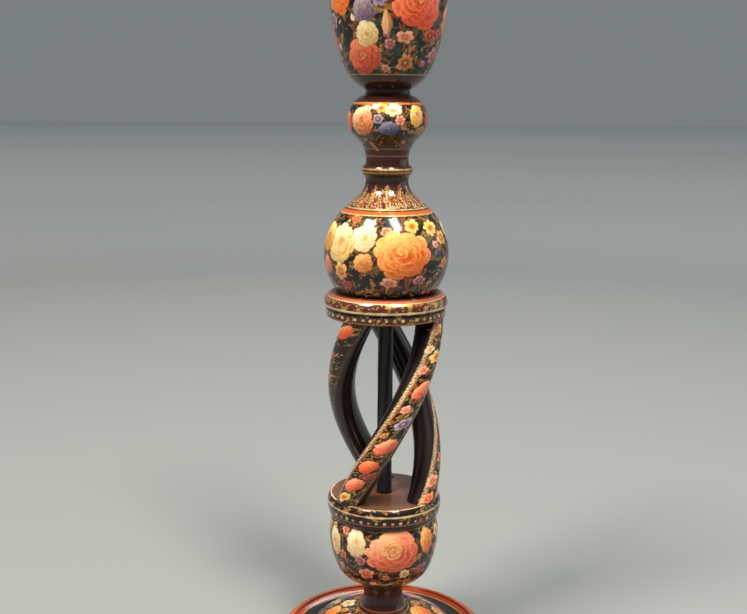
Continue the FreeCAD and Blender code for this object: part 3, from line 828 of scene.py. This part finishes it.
def make_foot():
    """The domed foot: red-brown rim with gold lines, dark brown hollow, flowered dome."""
    shown = [
        (69, 0), (71, 6, "into_upright"), (65.5, 12.2, "from_upright"), (63.8, 12.2), (63.8, 11),
        (55.65, 8.8, "into_level"), (47.5, 13, "from_level"), (47.5, 14),
        (16.5, 27.5, "crown", 60), (13, 27.5),
    ]
    hidden = [(9.1, 27.5), (9.1, 15), (5.3, 15), (5.3, 12), (15, 12), (15, 3), (46, 3), (46, 0)]
    outline, canvas = turned(shown, hidden, bottom_of("foot"), 560, BLACK, 11, row=0.62)
    at = outline.at_radius
    rim, dome, top = at(64.2, last=False), at(47.2), at(17.5)
    hollow = at(60.5, last=False)
    band(canvas, 0, hollow, RIM_RED)
    undergrowth(canvas, 1.5, rim - 5, 0, 0, 320)
    for share, width in ((0.12, 0.6), (0.55, 0.7), (0.8, 1.0), (0.93, 0.6)):
        line(canvas, rim * share, width, GOLD)
    dots(canvas, rim * 0.67, 100, 0.9, [linear("#e0803a"), PALE_GOLD])
    band(canvas, hollow, dome - 1.2, HOLLOW_BROWN)
    line(canvas, hollow, 0.6, GOLD)
    line(canvas, dome - 0.6, 1.2, GOLD)
    undergrowth(canvas, dome + 1, top, 260, 50, 260, 60)
    heroes = [
        (-104, 25, 5.5, IVORY), (-92, 35, 6.5, TANGERINE), (78, 27, 8, TANGERINE),
        (100, 38, 5, ORANGE), (-60, 32, 8.5, VERMILION), (-20, 34, 9.5, SALMON),
        (26, 33, 9, TANGERINE), (142, 32, 8.5, SALMON), (-150, 33, 9, VERMILION),
        (178, 36, 6, CREAM), (52, 38, 5.5, CREAM), (4, 23, 4.5, YELLOW), (-40, 22, 4, VIOLET),
        (-124, 41, 4.5, YELLOW),
    ]
    plant(canvas, at, dome + 1, top, heroes, (3.8, 2.6), 110)
    band(canvas, top, outline.total, BROWN)
    line(canvas, top, 0.8, GOLD)
    painted_piece("foot", outline, canvas)


# ---------------------------------------------------------------- lower bulb

def make_lower_bulb():
    """The bowl-shaped bulb on its dark waisted neck, with one great salmon rose in front."""
    shown = [
        (16.5, 0), (13.2, 11, "into_upright"), (14.4, 21.5, "from_upright"),
        (32, 33.5, "from_level"), (36.5, 57, "into_upright"), (34.2, 68, "from_upright"), (30, 68),
    ]
    hidden = [(5.3, 68), (5.3, -12), (9, -12), (9, 0)]
    outline, canvas = turned(shown, hidden, top_of("foot"), 440, GROUND, 23)
    at = outline.at_height
    undergrowth(canvas, at(24), at(67), 260, 44, 240, 60)
    heroes = [
        (-31, 58.5, 7.2, IVORY, 1.35), (-62, 55, 6.2, CREAM, 1.5), (50, 58, 6.5, TANGERINE, 1.4),
        (-20, 37.5, 5.4, SALMON, 0.8), (-45, 65, 3, PINK), (112, 52, 14.5, TANGERINE, 0.92),
        (-140, 52, 15, VERMILION, 0.92), (170, 57, 7.5, CREAM, 1.2), (77, 44, 5, VIOLET),
        (-95, 44, 6, ORANGE), (72, 60, 4.5, YELLOW), (-100, 60, 5, PINK), (148, 40, 5, PINK),
        (44, 38, 4, CRIMSON),
    ]
    plant(canvas, at, at(27), at(67), heroes, (3.6, 2.4), 60)
    rose(canvas, 9.4, at(53.5), 17.3, SALMON, tall=0.86, heart_share=0.38)
    neck = at(22)
    band(canvas, 0, neck, linear("#3a190f"))
    line(canvas, neck, 0.7, GOLD)
    line(canvas, at(2.0), 0.6, COPPER)
    line(canvas, at(67.4), 0.6, GOLD)
    painted_piece("lower_bulb", outline, canvas)


# ---------------------------------------------------------------- collars

def make_lower_collar():
    """The lower collar: brown deck inside pale lines, dark flowered side, a row of dots."""
    shown = [
        (30, 0), (33.5, 0), (36.8, 2.8, "from_level"), (37.9, 10, "into_upright"),
        (36, 14.7, "from_upright"), (5.3, 14.7),
    ]
    hidden = [(5.3, 0)]
    outline, canvas = turned(shown, hidden, bottom_of("lower_collar"), 480, GROUND, 37)
    at = outline.at_height
    edge, deck_end = outline.at_radius(36.0), outline.at_radius(6)
    band(canvas, edge, deck_end, linear("#634436"))
    undergrowth(canvas, at(8.5), edge - 0.5, 110, 10, 70)
    line(canvas, edge + 0.3, 0.8, RIM_LINE, gilt=0.2)
    line(canvas, at(10.6), 0.9, RIM_LINE, gilt=0.2)
    line(canvas, at(4.2), 0.5, COPPER)
    dots(canvas, at(6.4), 45, 1.0, [PALE_GOLD, linear("#d8946e")])
    painted_piece("lower_collar", outline, canvas)


def make_upper_collar():
    """The upper collar: salmon line on its shoulder, gold patches, a groove, a row of dots."""
    shown = [
        (5.3, 0), (38.6, 0), (38.9, 5.4), (38.1, 5.8), (39.4, 6.2), (40, 8.6, "into_upright"),
        (34, 15.8, "from_upright"), (30, 15.8),
    ]
    hidden = [(5.3, 15.8)]
    outline, canvas = turned(shown, hidden, bottom_of("upper_collar"), 480, GROUND, 41)
    at = outline.at_height
    shoulder, belly = outline.at_radius(34.6), at(8.6)
    band(canvas, belly - 2, outline.total, linear("#46231a"))
    undergrowth(canvas, belly - 1, shoulder - 4, 90, 40, 130)
    band(canvas, shoulder - 4.2, shoulder - 1.4, linear("#a5624a"), gilt=0.1)
    line(canvas, shoulder - 4.2, 0.5, RIM_LINE, gilt=0.3)
    line(canvas, at(7.6), 1.2, RIM_LINE, gilt=0.2)
    band(canvas, at(0.6), at(5.0), linear("#3a2013"))
    undergrowth(canvas, at(1), at(4.8), 0, 0, 150)
    dots(canvas, at(2.9), 48, 0.95, [PALE_GOLD, linear("#c89a6a")])
    line(canvas, at(0.7), 0.4, COPPER)
    painted_piece("upper_collar", outline, canvas)


# ---------------------------------------------------------------- upper bulb

def make_upper_bulb():
    """The great ball under its bell flare: tangerine rose and cream flowers in front, worn
    tongues on the flare, dark throat, gilt bead."""
    shown = [
        (30, 0), (32.1, 0), (40.1, 24, "into_upright"), (27.6, 53, "from_upright"), (26.4, 54),
        (17.4, 62), (13.65, 71, "into_upright"), (14.6, 74, "from_upright"),
        (16.2, 77.3, "into_upright"), (14.6, 80.6, "from_upright"), (12, 80.6),
    ]
    hidden = [(9.1, 80.6), (9.1, 42.6), (5.3, 42.6), (5.3, 0)]
    outline, canvas = turned(shown, hidden, bottom_of("upper_bulb"), 440, GROUND, 53, row=0.55)
    at = outline.at_height
    undergrowth(canvas, at(1.5), at(51), 460, 110, 420, 80)
    heroes = [
        (-22.5, 38.5, 9, IVORY), (-48, 34.5, 11, CREAM, 1.2), (26, 45.5, 5.4, YELLOW, 0.9),
        (50, 43.5, 5.6, YELLOW), (63, 37, 5.2, ORANGE), (-37, 49, 4, VERMILION, 0.8),
        (-21.5, 23.5, 6.4, ORANGE), (-46, 17, 5.6, ORANGE, 1.1), (-1, 42.5, 3.4, PINK),
        (2, 11, 5.6, PINK, 0.6), (31, 12, 4.6, MAUVE, 0.7), (-42, 8, 4.6, CRIMSON, 0.7),
        (-72, 37, 8.5, YELLOW, 1.2), (-68, 19, 6, SALMON), (64, 21, 4.2, UMBER),
        (112, 28, 17, SALMON, 0.85), (-122, 29, 17.5, VERMILION, 0.85), (168, 31, 15, IVORY, 0.9),
        (84, 41, 6.5, CREAM), (142, 44, 6, TANGERINE, 0.9), (-160, 46, 5.5, YELLOW, 0.9),
        (-95, 44, 6, PINK), (140, 15, 6, VIOLET, 0.9), (-165, 13, 7, ORANGE, 0.9),
        (88, 14, 5.5, BLUE, 0.9), (14.3, 29, 18.5, TANGERINE, 0.8),
    ]
    plant(canvas, at, at(20), at(51), heroes, (3.6, 2.6), 60)
    band(canvas, at(51.4), at(53.6), linear("#c8642a"), gilt=0.35)
    line(canvas, at(51.4), 0.8, PALE_GOLD)
    band(canvas, at(53.8), outline.total, BROWN)
    lappets(canvas, at(54.2) + 1.4, at(69.5), 12, share=1.05)
    lappets(canvas, at(54.2) + 1.4, at(64), 12, share=0.7, shift=0.5)
    undergrowth(canvas, at(55), at(68), 26, 10, 110)
    line(canvas, at(54.2) + 0.6, 0.9, PALE_GOLD)
    band(canvas, at(69.5), at(75), linear("#2a120b"))
    band(canvas, at(75.4), at(79.6), linear("#4a2c18"), gilt=0.3)
    line(canvas, at(78.4), 0.8, PALE_GOLD)
    line(canvas, at(76.4), 0.7, GOLD)
    painted_piece("upper_bulb", outline, canvas)


# ---------------------------------------------------------------- knop

def make_knop():
    """The small knop: cream, yellow and violet flowers over a dark cyma with copper lines."""
    shown = [
        (12, 0), (14, 0), (13.6, 3.4, "into_upright"), (19.5, 16.4, "from_upright"),
        (25.2, 28.4, "into_upright"), (16.3, 43, "from_upright"), (14, 45.4, "into_upright"),
        (12, 45.4),
    ]
    tenon = [(0, -20), (9, -20), (9, 0)]
    socket = [(9.1, 45.4), (9.1, 32.9), (0, 32.9)]
    ground = linear("#3c150a")
    outline, canvas = turned(shown, socket, top_of("upper_bulb"), 360, ground, 67, lead=tenon)
    at = outline.at_height
    band(canvas, at(19), at(38), GROUND)
    undergrowth(canvas, at(19), at(38), 130, 20, 110, 30)
    undergrowth(canvas, at(11), at(19), 30, 8, 40)
    heroes = [
        (-41, 28, 8.4, PEACH, 1.15), (-77, 27, 6, SALMON, 1.1), (1, 23.6, 6, BLUE, 0.8),
        (-14, 29.5, 3.4, VIOLET, 0.9), (17, 28.6, 3.4, PINK, 0.9), (8, 34.6, 5.6, IVORY, 0.75),
        (-11, 36, 4.2, YELLOW, 0.8), (46, 31, 6, YELLOW, 1.15), (78, 27, 6, CRIMSON),
        (110, 30, 6.4, CREAM, 1.1), (145, 28, 7, TANGERINE), (-175, 29, 5.7, VIOLET),
        (-142, 29, 6.6, YELLOW), (-110, 30, 5.6, ORANGE), (60, 22, 3, UMBER),
    ]
    plant(canvas, at, at(20), at(38), heroes, (2.4,), 40)
    top = at(38.6)
    line(canvas, top, 1.5, linear("#e08a3c"), gilt=0.5)
    band(canvas, top + 1.2, outline.total, linear("#2e1209"))
    line(canvas, at(10.7), 0.6, COPPER)
    line(canvas, at(6.3), 0.6, COPPER)
    painted_piece("knop", outline, canvas)


# ---------------------------------------------------------------- cup

def make_cup():
    """The tulip cup: an orange-red rose, a salmon rose, cream and violet flowers in front."""
    shown = [
        (12, 0), (14, 0), (14, 1), (27.1, 14.5, "crown", 28), (36.5, 62, "into_upright"),
        (38.2, 78, "from_upright"), (36.8, 81, "into_level"), (34.5, 81), (28, 75, "into_level"),
        (12.3, 75),
    ]
    tenon = [(0, -12), (9, -12), (9, 0)]
    socket = [(12.3, 44.5), (0, 44.5)]
    outline, canvas = turned(shown, socket, top_of("knop"), 400, GROUND, 71, row=0.62, lead=tenon)
    at = outline.at_height
    undergrowth(canvas, at(11), at(76), 430, 90, 380, 90)
    leaf(canvas, 3, at(20), 15, 10, 84, TEAL)
    leaf(canvas, 8, at(21), 12, 6, 60, LEAF_GREEN)
    leaf(canvas, 40, at(26), 10, 3.8, 8, OLIVE)
    heroes = [
        (-26, 47.5, 7.4, VIOLET, 1.1), (-9.5, 54, 5, VIOLET), (-32, 20.6, 12, CORAL),
        (-23.5, 33.6, 7.6, CREAM), (20.5, 17, 5.7, UMBER), (63, 22, 5, MAUVE, 1.1),
        (48, 33, 4.6, CRIMSON), (-4, 13.8, 2.6, PINK, 0.9), (17, 32, 5.7, PINK, 0.7),
        (-60, 58, 13, TANGERINE), (-2, 69, 5.6, ORANGE, 0.9), (-28, 66, 6.5, IVORY),
        (68, 62, 7, CREAM), (88, 42, 12, SALMON), (-92, 30, 10.5, VERMILION),
        (128, 54, 15, TANGERINE), (152, 26, 10, SALMON), (-150, 50, 15, VERMILION),
        (-112, 60, 7.5, CREAM), (-130, 22, 7, VIOLET), (112, 24, 7, YELLOW), (180, 68, 7, ORANGE),
        (-72, 42, 5.2, VIOLET), (30, 52, 16.5, VERMILION, 1.05),
    ]
    plant(canvas, at, at(13), at(76), heroes, (3.4, 2.2), 90)
    peach = palette("#a8683a #f0b884 #ffe6c4")
    leaf(canvas, -3, at(33), 15, 6.5, 93, peach)
    leaf(canvas, -37, at(41), 5, 3.4, 110, palette("#c8a080 #ffeedd #ffffff"))
    foot_line = at(10.3)
    band(canvas, 0, foot_line - 0.6, linear("#32110e"))
    line(canvas, foot_line, 0.7, GOLD)
    line(canvas, at(1.6), 0.7, linear("#6a4466"), gilt=0.2)
    lip = at(77.4)
    band(canvas, lip, outline.total, mix(BLACK, BROWN, 0.6))
    line(canvas, lip, 1.0, GOLD)
    line(canvas, lip + 4.6, 0.6, GOLD)
    line(canvas, lip + 9.5, 0.5, COPPER)
    painted_piece("candle_cup", outline, canvas)


# ---------------------------------------------------------------- twisted bars

BAR_RADIUS = 9.0
BAR_CIRCLE = 28.5  # radius of the circle that the bars' centre lines keep to
BAR_EDGE = 58  # degrees round a bar from the middle of its outer face to a gold edge
TWIST = math.radians(138)
BAR_STARTS = {"twist_bar_front": -140, "twist_bar_right": -32, "twist_bar_left": 96}
BAR_ROWS, BAR_COLUMNS = 290, 120
SINK = 0.3  # mm that each bar's end runs into its collar


def paint_bar(canvas, length, flowers, density):
    """The outer face of a bar: flowers on dim leaves between two stippled gold edges, the lower
    edge narrower and fainter as painted shade.
    """
    rng = canvas.rng
    half = BAR_EDGE
    for number in range(int(520 * density)):
        turn, along = rng.uniform(8 - half, half - 8), rng.uniform(1, length - 1)
        heading = rng.uniform(0, 360)
        if number < 240 * density:
            long = rng.uniform(2.5, 5)
            paints = (RUST_LEAF, OLIVE, GOLD_LEAF, RUST_LEAF, OLIVE, LEAF_GREEN)[number % 6]
            leaf(canvas, turn, along, long, long * 0.4, heading, paints)
        else:
            long, width = rng.uniform(1, 2.4), rng.uniform(0.4, 0.8)
            leaf(canvas, turn, along, long, width, heading, GOLD_LEAF, 0.9)
    for along, turn, size, _ in flowers:
        for heading in rng.uniform(0, 360, 5):
            paints = FOLIAGE[int(rng.integers(len(FOLIAGE)))]
            gilt = 0.8 if paints is GOLD_LEAF else 0
            leaf(canvas, turn, along, size * 1.7, size * 0.6, heading, paints, gilt)
    for along, turn, size, paints in flowers:
        if size > BAR_ROSE_SIZE:
            rose(canvas, turn, along, size, paints)
        else:
            blossom(canvas, turn, along, size, paints, petals=int(rng.integers(5, 7)))
    block, across, up = canvas.window(0, length / 2, length)
    facing = np.degrees(across / BAR_RADIUS)
    # the lower edge (+BAR_EDGE, facing down) is painted narrower and under half as strong: painted
    # shade on the bar's underside
    for side, width, strength in ((-half, 2.4, density), (half, 1.6, 0.45 * density)):
        off = np.abs((facing - side) * math.radians(1) * BAR_RADIUS)
        stipple = np.sin(up * 3.1 + 1.7 * np.sin(across * 2.1))
        stipple = stipple * np.sin(across * 4.4 + 1.3 * np.sin(up * 1.3))
        cover = strength * inside(off - width / 2, 0.5) * rise(-0.35, 0.25, stipple)
        canvas.lay(block, cover, RIM_LINE, 0.4, 0.8)
        inner = np.abs((facing - side * 0.8) * math.radians(1) * BAR_RADIUS) - 0.2
        canvas.lay(block, strength * inside(inner, 0.22), COPPER, 0.6, 0.4)


def make_bar(node, flowers, seed, density=1.0):
    """One bar: a round section carried along a helix whose centre line is (R cos a, R sin a, z),
    a growing evenly with z. Each fibre of the bar starts and ends on the collars' faces."""
    face_low, face_high = top_of("lower_collar"), bottom_of("upper_collar")
    length = math.hypot(face_high - face_low, BAR_CIRCLE * TWIST)
    climb = (face_high - face_low) / length
    lead = BAR_CIRCLE * TWIST / length
    canvas = Canvas(
        np.linspace(0, length, BAR_ROWS), np.full(BAR_ROWS, BAR_RADIUS), BAR_COLUMNS,
        linear("#180b0c"), seed,
    )
    paint_bar(canvas, length, flowers, density)
    turn = canvas.turn
    radius = BAR_RADIUS + canvas.relief * PAINT_THICKNESS
    dip = radius * np.sin(turn) * lead
    level = np.linspace(face_low - SINK, face_high + SINK, BAR_ROWS)[:, None] + dip
    swing = math.radians(BAR_STARTS[node]) + TWIST * (level - face_low) / (face_high - face_low)
    outward = np.stack([np.cos(swing), np.sin(swing), 0 * swing], axis=-1)
    sideways = np.stack([-np.sin(swing) * climb, np.cos(swing) * climb, -lead + 0 * swing], axis=-1)
    centre = np.stack([BAR_CIRCLE * np.cos(swing), BAR_CIRCLE * np.sin(swing), level], axis=-1)
    points = centre + radius[..., None] * (
        np.cos(turn)[None, :, None] * outward + np.sin(turn)[None, :, None] * sideways
    )
    ends = [np.tile(row.mean(axis=0), (1, BAR_COLUMNS, 1)) for row in (points[0], points[-1])]
    points = np.concatenate([ends[0], points, ends[1]])
    along = np.concatenate([[0], canvas.along + 1, [length + 2]])
    fields = canvas.fields()
    for key, value in fields.items():
        fields[key] = np.concatenate([value[:1], value, value[-1:]])
    piece = write_piece(node + "_painted", points, along, length + 2, False, None, fields)
    finish_piece(piece, node, "root", [LACQUER])


FRONT_FLOWERS = [
    (131, -44, 3.8, ORANGE), (112.6, -7, 4.6, YELLOW), (118, -50, 3, IVORY), (104, -40, 3.2, PINK),
    (90, 0, 5.8, SALMON), (77, -22, 2.8, PINK), (66.5, 8, 4.7, VIOLET), (49.7, 6, 5.8, SALMON),
    (34, -2, 5, VERMILION), (18.5, -2, 5.6, SALMON), (7, -3, 4, YELLOW), (58, -30, 2.2, UMBER),
    (124, 18, 4, UMBER), (26, 32, 3, CRIMSON),
]
LEFT_FLOWERS = [
    (131.5, -6, 5.8, VERMILION), (112, -10, 2.6, CRIMSON), (94, 4, 3.6, UMBER),
    (76, -6, 3.4, MAUVE), (58, 6, 5, SALMON), (40, -4, 4.2, VIOLET), (24, 4, 5, TANGERINE),
    (9, 0, 3.8, CREAM),
]
RIGHT_FLOWERS = [
    (132, 0, 4.9, SALMON), (115, 4, 4, CREAM), (98, -4, 5, TANGERINE), (80, 4, 4, VIOLET),
    (63, 0, 4.6, ORANGE), (46, -8, 3.8, CRIMSON), (30, -16, 3.4, UMBER), (16, -42, 4.2, PINK),
    (4.5, -34, 3.8, SALMON),
]


# ---------------------------------------------------------------- rod, nozzle, felt

def make_rod():
    """The forged rod: a turned bar whose radius wavers by a few hundredths of a millimetre."""
    bottom, columns, end = bottom_of("tie_rod"), 48, 10.6
    length = top_of("tie_rod") - bottom
    shown = [
        (3.4, 0), (4, 0.6), (4, end), (5, end), (5, length - end), (4, length - end),
        (4, length - 0.6), (3.4, length),
    ]
    outline = Outline([(0, 0)] + shown, [(0, length)], bottom, row=1.5, ease=0.4)
    sway = np.sin(outline.along[:, None] * 0.21 + 2 * np.sin(round_turns(columns)))
    waver = 0.05 * sway * (outline.radius > 4.9)[:, None]
    plain_piece("tie_rod", "_forged", "root", IRON, outline, columns, waver - 0.05)


def make_nozzle():
    """The loose brass nozzle: a tube with a rolled lip, through a pan with a rolled rim."""
    tube = [
        (0, 0), (12.0, 0), (12.0, 33.6), (12.9, 34.3, "from_level"), (12.6, 35), (11.5, 35),
        (11.1, 34.2), (11.1, 20),
    ]
    hidden = [(11.1, 0.9), (0, 0.9)]
    outline = Outline(tube, hidden, bottom_of("nozzle_tube"), row=0.7, ease=0.35)
    plain_piece("nozzle_tube", "_brass", "nozzle", BRASS, outline, 160)
    pan = [
        (12.05, 0), (22.8, 0), (25.6, 1.9, "from_level"), (26, 2.7), (25.5, 3.2), (24.9, 2.9),
        (22.8, 0.9, "into_level"), (12.05, 0.9),
    ]
    outline = Outline(pan, [(12.05, 0.45)], bottom_of("drip_pan"), row=0.6, ease=0.3)
    plain_piece("drip_pan", "_brass", "nozzle", BRASS, outline, 240)


def make_felt():
    """The felt ring, its cut edges softened and its thickness uneven by a tenth of a millimetre."""
    shown = [(49, 0), (66, 0), (66, 1.5), (49, 1.5)]
    outline = Outline(shown, [(49, 0.75)], 0.0, row=1.2, ease=0.8)
    columns = 420
    turn = round_turns(columns)
    mat = 0.05 * np.sin(outline.along[:, None] * 1.7 + 9 * turn) * np.sin(31 * turn) - 0.05
    plain_piece("base_felt", "_ring", "root", FELT, outline, columns, mat)


make_foot()
make_lower_bulb()
make_lower_collar()
make_bar("twist_bar_front", FRONT_FLOWERS, 83)
make_bar("twist_bar_left", LEFT_FLOWERS, 89, density=0.35)
make_bar("twist_bar_right", RIGHT_FLOWERS, 97)
make_upper_collar()
make_upper_bulb()
make_knop()
make_cup()
make_rod()
make_nozzle()
make_felt()
for fastener in ("lower_washer", "lower_nut", "upper_washer", "upper_nut"):
    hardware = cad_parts[fastener]
    hardware.data.materials.clear()
    hardware.data.materials.append(ZINC)


# ---------------------------------------------------------------- floor, light, camera

def make_floor():
    """A wide plain pale floor. It pales with distance from the candlestick, over 8 m, to make
    up for the lamps' fall-off, so the far floor is as light as the room."""
    material, tree, place = new_material("plain_pale_floor")
    reach = add(tree, "VectorMath", {0: place}, operation="LENGTH").outputs["Value"]
    far = add(tree, "MapRange", {"Value": reach, "From Max": 8.0}).outputs["Result"]
    tone = ramp(
        tree, far,
        (0.06, "#747776"), (0.2, "#6c6f70"), (0.4, "#8f9293"), (0.7, "#ccd0d1"), (1.0, "#e6eaeb"),
    )
    surface(tree, tone, 0.75)
    mesh = bpy.data.meshes.new("floor")
    side = 12.0  # half the floor's width, in metres
    mesh.from_pydata(
        [(-side, -side, 0), (side, -side, 0), (side, side, 0), (-side, side, 0)], [], [(0, 1, 2, 3)]
    )
    mesh.materials.append(material)
    floor = bpy.data.objects.new("floor", mesh)
    bpy.context.scene.collection.objects.link(floor)


LAMP_TARGET = np.array([0, 0, 0.23])  # the middle of the candlestick
LAMP_REACH = 3.6  # metres from there to each lamp


def add_light(name, turn, elevation, size, watts, colour):
    """A softbox at a turn and an elevation, facing the middle of the candlestick."""
    a, e = math.radians(turn), math.radians(elevation)
    way = np.array([math.sin(a) * math.cos(e), -math.cos(a) * math.cos(e), math.sin(e)])
    lamp = bpy.data.lights.new(name, "AREA")
    lamp.shape = "RECTANGLE"
    lamp.size, lamp.size_y = size
    lamp.energy = watts
    lamp.color = colour
    holder = bpy.data.objects.new(name, lamp)
    holder.location = LAMP_TARGET + way * LAMP_REACH
    holder.rotation_euler = Vector(-way).to_track_quat("-Z", "Y").to_euler()
    bpy.context.scene.collection.objects.link(holder)


def make_lights():
    """A key from the upper left, a ceiling box above the camera, weak fills and a grey room."""
    world = bpy.data.worlds.new("soft_room")
    world.use_nodes = True
    room = world.node_tree.nodes["Background"].inputs
    room["Color"].default_value = (*linear("#9aa0a2"), 1)
    room["Strength"].default_value = 0.6
    bpy.context.scene.world = world
    add_light("key_box", -54, 56, (1.0, 1.0), 202, (1.0, 0.93, 0.84))
    add_light("ceiling_box", 30, 61, (0.75, 1.7), 200, (1.0, 0.96, 0.9))
    add_light("right_fill", 95, 10, (3.2, 2.2), 20, (0.9, 0.95, 1.0))
    add_light("back_fill", 165, 50, (1.6, 1.4), 45, (0.95, 0.97, 1.0))


def make_camera():
    """A camera a little above the ball, looking slightly down, at about arm's length."""
    camera = bpy.data.cameras.new("view")
    camera.lens = 52.5
    holder = bpy.data.objects.new("view", camera)
    holder.location = (-0.009, -0.6943, 0.376)
    dip, roll = 11.26, -0.41  # degrees
    holder.rotation_euler = (math.radians(90 - dip), math.radians(roll), 0)
    bpy.context.scene.collection.objects.link(holder)
    bpy.context.scene.camera = holder
    bpy.context.scene.view_settings.view_transform = "Standard"


make_floor()
make_lights()
make_camera()
